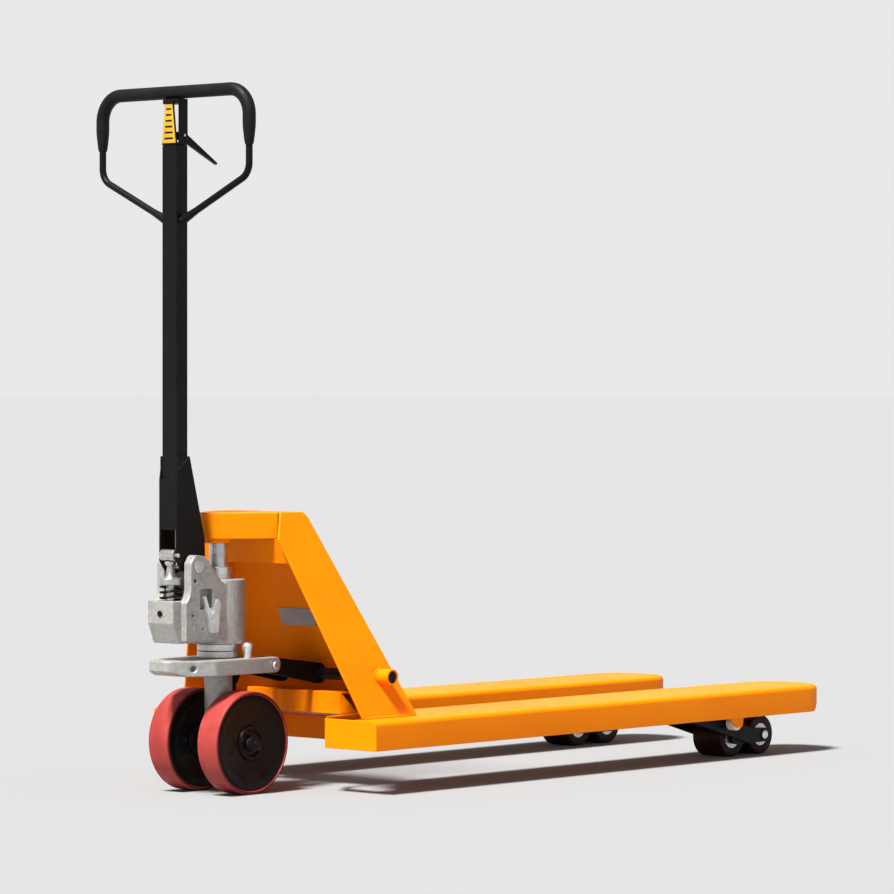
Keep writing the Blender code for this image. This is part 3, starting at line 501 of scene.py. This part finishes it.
def make_frame():
    """Forks, leaning tray, crown, cross members and their welds."""
    for side in ("left", "right"):
        make_fork(side)
        refined(f"shaft_boss_{side}", 0.0010)
        refined(f"exit_bracket_{side}", 0.0010)
    refined("back_frame", 0.0018)
    softened("crown", 0.0012, 10)
    refined("upper_cross_angle", 0.0016)
    refined("lower_cross_member", 0.0030, 4)
    refined("cross_tube", 0.0040, 4)
    refined("rating_plate", 0.0003, 2)
    low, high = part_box("ram")
    spot = middle("ram")
    radius = (high.x - low.x) / 2
    profile = [(0, low.z), (radius, low.z), (radius, high.z), (0, high.z)]
    piece("ram_finish", lathe(profile, (spot.x, spot.y, 0), "Z", 72), "steel", "frame", ["ram"])
    make_frame_welds()
    make_rivets()


def make_frame_welds():
    """Beads where the tray stands on the forks and where its bosses go through."""
    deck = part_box("fork_left")[1].z
    tray_low, tray_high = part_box("back_frame")
    for name, sign in (("left", 1), ("right", -1)):
        boss_low, boss_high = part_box(f"shaft_boss_{name}")
        boss = (boss_low + boss_high) / 2
        wall_y = sign * (tray_high.y + WELD_STAND)
        foot_x = tray_high.x - TRAY_FOOT
        weld(f"tray_foot_weld_{name}", (foot_x, wall_y, deck + 0.001),
             (tray_high.x - 0.003, wall_y, deck + 0.001), 0.0026, "frame")
        inner_y = sign * (tray_high.y - 0.0058)
        weld(f"tray_inner_weld_{name}", (foot_x, inner_y, deck + 0.001),
             (tray_high.x - 0.012, inner_y, deck + 0.001), 0.0024, "frame")
        radius = (boss_high.z - boss_low.z) / 2 + WELD_STAND
        flange_y = sign * (tray_high.y - FLANGE_LEAN * (boss.z - tray_low.z))
        around = [Vector((boss.x + radius * math.cos(math.pi * i / 24), flange_y,
                          boss.z + radius * math.sin(math.pi * i / 24)))
                  for i in range(49)]
        radii = [0.0020 * (0.86 + 0.14 * abs(math.sin(i * 1.3))) for i in range(49)]
        piece(f"boss_weld_{name}", tube(around, radii, 10, Vector((0, 1, 0))),
              "paint_orange", "frame")


def make_rivets():
    """Four small rivets in the corners of the rating plate."""
    low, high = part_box("rating_plate")
    lean = (high.x - low.x - 0.001) / (high.z - low.z)
    for i, y in enumerate((low.y + RIVET_INSET, high.y - RIVET_INSET)):
        for k, z in enumerate((low.z + RIVET_INSET, high.z - RIVET_INSET)):
            face_x = high.x - 0.0012 - lean * (z - low.z)
            profile = [(0, face_x - 0.0011), (0.0012, face_x - 0.0008), (0.0019, face_x),
                       (0, face_x + 0.0004)]
            piece(f"plate_rivet_{i}{k}", lathe(profile, (0, y, z), "X", 20), "steel", "frame")


# ---- Seat and pump -----------------------------------------------------------------

DIMPLE_X = -0.107         # the seat's dimple, from the steering axis
PUMP_SIDE_Y = -0.042      # outer face of the pump's ear with the window
WINDOW_X = (-0.086, -0.056)   # from the steering axis
WINDOW_Z = (0.324, 0.359)
WINDOW_DEPTH = 0.015
# Small holes in that face: (x from the steering axis, z, radius).
PUMP_HOLES = ((-0.098, 0.374, 0.0038), (-0.104, 0.314, 0.0026), (-0.080, 0.290, 0.0022))
HOLE_DEPTH = 0.010
CIRCLIP_Y = 0.0424        # inner face of each circlip on the handle's pivot pin
SPRING_WIRE = 0.0019      # radius of the plunger spring's wire
SPRING_TURNS = 6.5


def make_seat():
    """The cast seat, its washers, the pin through its lugs and the stop pin."""
    low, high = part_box("bearing_seat")
    dimple = lathe([(0, low.y - 0.01), (0.0055, low.y - 0.01), (0.0055, low.y + 0.030),
                    (0, low.y + 0.030)], (STEER_X + DIMPLE_X, 0, (low.z + high.z) / 2), "Y", 32)
    softened("bearing_seat", 0.0013, 5, [dimple])
    refined("rocker_pivot_pin", 0.0012)
    refined("thrust_washer_lower", 0.0012)
    spot = middle("steering_stop_pin")
    low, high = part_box("steering_stop_pin")
    neck, head = 0.0070, (high.x - low.x) / 2
    shoulder = high.z - 0.013
    profile = [(0, low.z), (neck, low.z), (neck, shoulder - 0.004), (head - 0.0008, shoulder)]
    profile += [(head * math.cos(a), high.z - 0.0065 + 0.0065 * math.sin(a))
                for a in [math.pi / 2 * i / 8 for i in range(8)]]
    profile.append((0, high.z))
    piece("steering_stop_pin_finish", lathe(profile, (spot.x, spot.y, 0), "Z", 40), "zinc",
          "seat", ["steering_stop_pin"])
    low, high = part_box("rocker_pivot_pin")
    pin = middle("rocker_pivot_pin")
    for name, face, out in (("left", high.y, 1), ("right", low.y, -1)):
        profile = [(0, face - out * 0.0010), (0.0082, face - out * 0.0010), (0.0082, face),
                   (0.0070, face + out * 0.0016), (0.0030, face + out * 0.0020),
                   (0, face + out * 0.0020)]
        piece(f"lug_pin_cap_{name}", lathe(profile, (pin.x, 0, pin.z), "Y", 40), "zinc", "seat")


def make_pump():
    """The pump casting with its window and holes, and what is fitted to it."""
    start = PUMP_SIDE_Y - 0.02
    window = block((STEER_X + WINDOW_X[0], start, WINDOW_Z[0]),
                   (STEER_X + WINDOW_X[1], PUMP_SIDE_Y + WINDOW_DEPTH, WINDOW_Z[1]))
    end = PUMP_SIDE_Y + HOLE_DEPTH
    holes = [lathe([(0, start), (radius, start), (radius, end), (0, end)],
                   (STEER_X + x, 0, z), "Y", 28) for x, z, radius in PUMP_HOLES]
    softened("pump_housing", 0.0012, 4, [window, *holes])
    refined("ram_gland", 0.0012)
    refined("thrust_washer_upper", 0.0012)
    refined("steer_spindle", 0.0020)
    refined("wheel_axle", 0.0010)
    low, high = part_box("wheel_axle")
    for name, face, out in (("left", high.y, 1), ("right", low.y, -1)):
        cap = [(0, face + out * 0.0024), (0.0030, face + out * 0.0022),
               (0.0036, face + out * 0.0012), (0.0105, face + out * 0.0012),
               (0.0130, face + out * 0.0003), (0.0141, face - out * 0.0012),
               (0.0141, face - out * 0.0040), (0, face - out * 0.0040)]
        piece(f"axle_end_cap_{name}", lathe(cap, (AXLE.x, 0, AXLE.z), "Y", 48), "black_plastic",
              "pump")
    refined("handle_pivot_pin", 0.0010)
    refined("pump_screw_plug", 0.0008)
    refined("release_rocker", 0.0008)
    pin = middle("handle_pivot_pin")
    for name, sign in (("left", 1), ("right", -1)):
        face = sign * CIRCLIP_Y
        profile = [(0.0066, face), (0.0105, face), (0.0105, face + sign * 0.0016),
                   (0.0066, face + sign * 0.0016)]
        piece(f"pivot_circlip_{name}", lathe(profile, (pin.x, 0, pin.z), "Y", 40), "steel", "pump")
    make_plunger()


def make_plunger():
    """The turned plunger, the coil that lifts it, and the roller that presses it.

    The plunger is slimmer than its bore's smoothed wall, so it runs down clear of it.
    """
    low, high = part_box("plunger")
    spot = middle("plunger")
    cap = (high.x - low.x) / 2 - 0.0012
    spring_low, spring_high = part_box("plunger_spring")
    cap_low = spring_high.z + 0.0003
    profile = [(0, low.z), (0.0078, low.z), (0.0078, cap_low), (cap - 0.0012, cap_low),
               (cap, cap_low + 0.0012), (cap, cap_low + 0.0105), (cap - 0.0014, cap_low + 0.0120),
               (0.0110, cap_low + 0.0132), (0.0082, cap_low + 0.0175), (0.0065, high.z - 0.0085),
               (0.0105, high.z - 0.0050), (0.0105, high.z - 0.0010), (0.0092, high.z), (0, high.z)]
    piece("plunger_finish", lathe(profile, (spot.x, spot.y, 0), "Z", 64), "steel", "plunger",
          ["plunger"])
    radius = (spring_high.x - spring_low.x) / 2 - SPRING_WIRE
    bottom, top = spring_low.z + SPRING_WIRE, spring_high.z - SPRING_WIRE
    count = int(SPRING_TURNS * 28)
    path = []
    for i in range(count + 1):
        angle = 2 * math.pi * SPRING_TURNS * i / count
        path.append(Vector((spot.x + radius * math.cos(angle), spot.y + radius * math.sin(angle),
                            bottom + (top - bottom) * i / count)))
    wire = tube(path, [SPRING_WIRE] * len(path), 10, Vector((0, 0, 1)))
    coil = piece("plunger_spring_finish", wire, "paint_black", "pump", ["plunger_spring"])
    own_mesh(coil)
    low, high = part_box("pressure_roller")
    roller = middle("pressure_roller")
    section = turned_edge(0.0045, (high.z - low.z) / 2, (high.y - low.y) / 2, 0.0012)
    piece("pressure_roller_finish", lathe(section, roller, "Y", 56), "steel", "pressure_roller",
          ["pressure_roller"])
    refined("pressure_roller_pin", 0.0006)


# ---- Wheels and rollers -------------------------------------------------------------

TREAD_DEPTH = 0.018       # thickness of a steer wheel's tread
CORE_R = 0.0222           # where a load roller's steel core meets its tyre


def make_steer_wheel(name):
    """A tread with round shoulders on a flat black hub with a stepped cap."""
    low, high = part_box(f"steer_wheel_tread_{name}")
    centre = (low + high) / 2
    radius = (high.z - low.z) / 2
    half = (high.y - low.y) / 2
    rim = radius - TREAD_DEPTH
    lip = radius - 0.0075
    body = f"steer_wheel_{name}"
    face = half - 0.0012
    rounds = turned_edge(rim + 0.0002, radius, half, 0.0050)
    section = [(rim + 0.0002, 0.003 - face), (lip + 0.0004, 0.003 - face), *rounds[1:-1],
               (lip + 0.0004, face - 0.003), (rim + 0.0002, face - 0.003)]
    piece(f"steer_wheel_tread_{name}_finish", lathe(section, centre, "Y", 144), "tread_red", body,
          [f"steer_wheel_tread_{name}"])
    web = half - 0.0055
    profile = [(0.0218, 0.0175), (0.0235, 0.0212), (0.0255, 0.0222), (0.0290, 0.0222),
               (0.0310, web - 0.0012), (0.0345, web), (0.0580, web), (0.0640, web + 0.0022),
               (0.0700, face - 0.0004), (lip - 0.0012, face), (lip, face - 0.0010),
               (lip, face - 0.0027), (rim - 0.0003, face - 0.0027), (rim - 0.0003, 0.0)]
    section = [(r, -y) for r, y in profile] + [(r, y) for r, y in reversed(profile[:-1])]
    piece(f"steer_wheel_hub_{name}_finish", lathe(section, centre, "Y", 144), "black_plastic",
          body, [f"steer_wheel_hub_{name}"])
    section = turned_edge(0.0106, 0.0214, 0.0180, 0.0012)
    piece(f"steer_wheel_bearing_{name}_finish", lathe(section, centre, "Y", 64), "steel", body,
          [f"steer_wheel_bearing_{name}"])
    for side in (-1, 1):
        seal = [(0.0108, side * 0.0181), (0.0212, side * 0.0181), (0.0212, side * 0.0188),
                (0.0160, side * 0.0192), (0.0108, side * 0.0188)]
        piece(f"bearing_seal_{name}_{'inner' if side * centre.y < 0 else 'outer'}",
              lathe(seal, centre, "Y", 56), "black_plastic", body)


def make_load_roller(name):
    """A solid roller with round shoulders and a bored steel core."""
    node = f"load_roller_{name}"
    low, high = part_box(node)
    centre = (low + high) / 2
    section = turned_edge(CORE_R, (high.z - low.z) / 2, (high.y - low.y) / 2, 0.0032)
    piece(f"{node}_finish", lathe(section, centre, "Y", 112), "roller_maroon", node, [node])
    core = turned_edge(0.0065, CORE_R, (high.y - low.y) / 2 - 0.0008, 0.0012)
    piece(f"{node}_core", lathe(core, centre, "Y", 64), "steel", node)


def make_bogie(name):
    """Link plates, with a washer and a turned head on the front axle."""
    refined(f"bogie_{name}", 0.0012)
    low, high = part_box(f"bogie_{name}")
    axle = middle(f"load_roller_{name}_front")
    for side, face, out in (("a", high.y, 1), ("b", low.y, -1)):
        washer = [(0.0088, face), (0.0122, face), (0.0126, face + out * 0.0006),
                  (0.0122, face + out * 0.0013), (0.0088, face + out * 0.0013)]
        piece(f"axle_washer_{name}_{side}", lathe(washer, (axle.x, 0, axle.z), "Y", 40),
              "paint_black", f"bogie_{name}")
        head = [(0, face), (0.0086, face), (0.0086, face + out * 0.0018),
                (0.0070, face + out * 0.0030), (0.0030, face + out * 0.0032),
                (0.0024, face + out * 0.0024), (0, face + out * 0.0024)]
        piece(f"axle_head_{name}_{side}", lathe(head, (axle.x, 0, axle.z), "Y", 40), "zinc",
              f"bogie_{name}")


def make_linkage():
    """Rocker, rods, yokes and the rollers that carry the forks."""
    refined("rocker_shaft", 0.0010)
    for name in ("left", "right"):
        refined(f"rocker_arm_{name}", 0.0014)
        refined(f"push_rod_{name}", 0.0010)
        refined(f"yoke_{name}", 0.0010)
        make_bogie(name)
        for end in ("rear", "front"):
            make_load_roller(f"{name}_{end}")
        node = f"exit_roller_{name}"
        low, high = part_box(node)
        section = turned_edge(0.0045, (high.z - low.z) / 2, (high.y - low.y) / 2, 0.0014)
        piece(f"{node}_finish", lathe(section, (low + high) / 2, "Y", 56), "nylon", node, [node])


# ---- Handle -------------------------------------------------------------------------

ROD_R = 0.0060            # the loop's rod
LOOP_BEND_Z = 1.075       # where the loop's sides turn in towards the column
LOOP_FOOT_Y = 0.0235      # where they end beside it
LABEL_BARS = 6
BRACKET_WELD_Y = 0.0222
BRACKET_WELD_Z = (0.567, 0.5895)


def make_loop():
    """The bent rod and the moulded grip, which tapers down to the rod."""
    low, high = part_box("loop_grip")
    x = (low.x + high.x) / 2
    grip_r = (high.x - low.x) / 2
    half = high.y - grip_r
    top = high.z - grip_r
    foot_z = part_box("handle_loop")[0].z + ROD_R * 0.9
    points = [(x, LOOP_FOOT_Y, foot_z), (x, half, LOOP_BEND_Z), (x, half, top),
              (x, -half, top), (x, -half, LOOP_BEND_Z), (x, -LOOP_FOOT_Y, foot_z)]
    path = spread(rounded_path(points, [0, 0.030, 0.045, 0.045, 0.030, 0]), 0.006)
    radii = []
    for spot in path:
        near = 0.0
        if spot.z < LOOP_BEND_Z - 0.02:
            near = max(0.0, 1 - (abs(spot.y) - LOOP_FOOT_Y) / 0.030)
        radii.append(ROD_R * (1 + 0.35 * near))
    piece("handle_loop_finish", tube(path, radii, 24), "paint_black", "handle", ["handle_loop"])
    points = [(x, half, low.z), (x, half, top), (x, -half, top), (x, -half, low.z)]
    path = spread(rounded_path(points, [0, 0.045, 0.045, 0]), 0.004)
    radii = []
    for spot in path:
        rise = (spot.z - low.z) / 0.034
        rise = min(1.0, max(0.0, rise)) ** 0.7
        radii.append(ROD_R + 0.0012 + (grip_r - ROD_R - 0.0012) * rise)
    piece("loop_grip_finish", tube(path, radii, 32), "grip_rubber", "handle", ["loop_grip"])
    for name, sign in (("left", 1), ("right", -1)):
        column_y = sign * 0.018
        weld(f"loop_weld_{name}", (x - 0.007, column_y, foot_z - 0.004),
             (x + 0.007, column_y, foot_z + 0.010), 0.0032, "handle", "paint_black")


def make_label():
    """Plain dark bars across the label, with no lettering."""
    low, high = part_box("label_strap")
    refined("label_strap", 0.0002, 2)
    for i in range(LABEL_BARS):
        part = (i + 0.8) / 6.6
        z = low.z + (high.z - low.z) * part
        half_y = 0.0150 - 0.0085 * part
        bar = block((low.x - 0.00012, -half_y * 0.75, z - 0.0016),
                    (low.x + 0.0003, half_y * 0.75, z + 0.0016))
        piece(f"label_bar_{i}", bar, "paint_black", "handle")


def make_handle():
    """Bracket, column, control head, loop, label and lowering lever."""
    refined("handle_bracket", 0.0012)
    refined("handle_column", 0.0034, 5)
    refined("control_head", 0.0010)
    refined("release_trigger", 0.0012)
    refined("trigger_pin", 0.0005)
    refined("release_rod", 0.0005)
    make_loop()
    make_label()
    front_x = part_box("handle_bracket")[0].x
    for name, sign in (("left", 1), ("right", -1)):
        side_y = sign * BRACKET_WELD_Y
        weld(f"bracket_weld_{name}", (front_x + 0.0027, side_y, BRACKET_WELD_Z[0]),
             (STEER_X - 0.0930, side_y, BRACKET_WELD_Z[1]), 0.0018, "handle", "paint_black")


# ---- Floor, light and camera ----------------------------------------------------------

SKY_LOW, SKY_HIGH = 0.82, 0.34          # the surround's strength at eye level and overhead
FLOOR_COLOUR = (0.293, 0.297, 0.305)
KEY_FROM, KEY_AIM = Vector((-2.5, -0.25, 4.6)), Vector((0, 0, 0.4))
KEY_STRENGTH = 8.5
KEY_ANGLE = math.radians(12)
CAMERA_AT = (-6.0235, -5.351, 0.707)
CAMERA_TURN = math.radians(-48.22)       # about Z
LENS_MM = 174.04
SHIFT_Y = -0.0651


def make_surround():
    """An even pale surround that dims overhead."""
    world = bpy.data.worlds.new("studio")
    world.use_nodes = True
    tree = world.node_tree
    background = tree.nodes["Background"]
    background.inputs["Color"].default_value = (0.985, 0.99, 1.0, 1)
    sky = tree.nodes.new("ShaderNodeTexCoord")
    parts = tree.nodes.new("ShaderNodeSeparateXYZ")
    fade = tree.nodes.new("ShaderNodeMapRange")
    fade.inputs["From Min"].default_value = 0.09
    fade.inputs["From Max"].default_value = 0.40
    fade.inputs["To Min"].default_value = SKY_LOW
    fade.inputs["To Max"].default_value = SKY_HIGH
    tree.links.new(sky.outputs["Generated"], parts.inputs[0])
    tree.links.new(parts.outputs["Z"], fade.inputs["Value"])
    tree.links.new(fade.outputs["Result"], background.inputs["Strength"])
    bpy.context.scene.world = world


def make_floor():
    """A wide pale floor without any shine."""
    floor = bpy.data.materials.new("floor")
    floor.use_nodes = True
    shader = floor.node_tree.nodes["Principled BSDF"]
    shader.inputs["Base Color"].default_value = (*FLOOR_COLOUR, 1)
    shader.inputs["Roughness"].default_value = 1.0
    shader.inputs["Specular IOR Level"].default_value = 0.0
    bm = bmesh.new()
    bmesh.ops.create_circle(bm, cap_ends=True, segments=96, radius=400)
    mesh = bpy.data.meshes.new("floor")
    bm.to_mesh(mesh)
    bm.free()
    mesh.materials.append(floor)
    ground = bpy.data.objects.new("floor", mesh)
    bpy.context.scene.collection.objects.link(ground)


def make_key():
    """One soft, slightly warm key from high in front."""
    data = bpy.data.lights.new("key", "SUN")
    data.energy = KEY_STRENGTH
    data.color = (1.0, 0.985, 0.95)
    data.angle = KEY_ANGLE
    key = bpy.data.objects.new("key", data)
    key.location = KEY_FROM
    key.rotation_euler = (KEY_AIM - KEY_FROM).to_track_quat("-Z", "Y").to_euler()
    bpy.context.scene.collection.objects.link(key)


def make_camera():
    """A long lens, level, looking across the handle towards the fork tips."""
    data = bpy.data.cameras.new("camera")
    data.sensor_width = 36
    data.lens = LENS_MM
    data.shift_y = SHIFT_Y
    data.clip_end = 1000
    camera = bpy.data.objects.new("camera", data)
    camera.location = CAMERA_AT
    camera.rotation_euler = (math.radians(90), 0, CAMERA_TURN)
    bpy.context.scene.collection.objects.link(camera)
    bpy.context.scene.camera = camera


make_frame()
make_seat()
make_pump()
make_steer_wheel("left")
make_steer_wheel("right")
make_linkage()
make_handle()
bpy.context.scene.view_settings.view_transform = "Standard"
make_surround()
make_floor()
make_key()
make_camera()
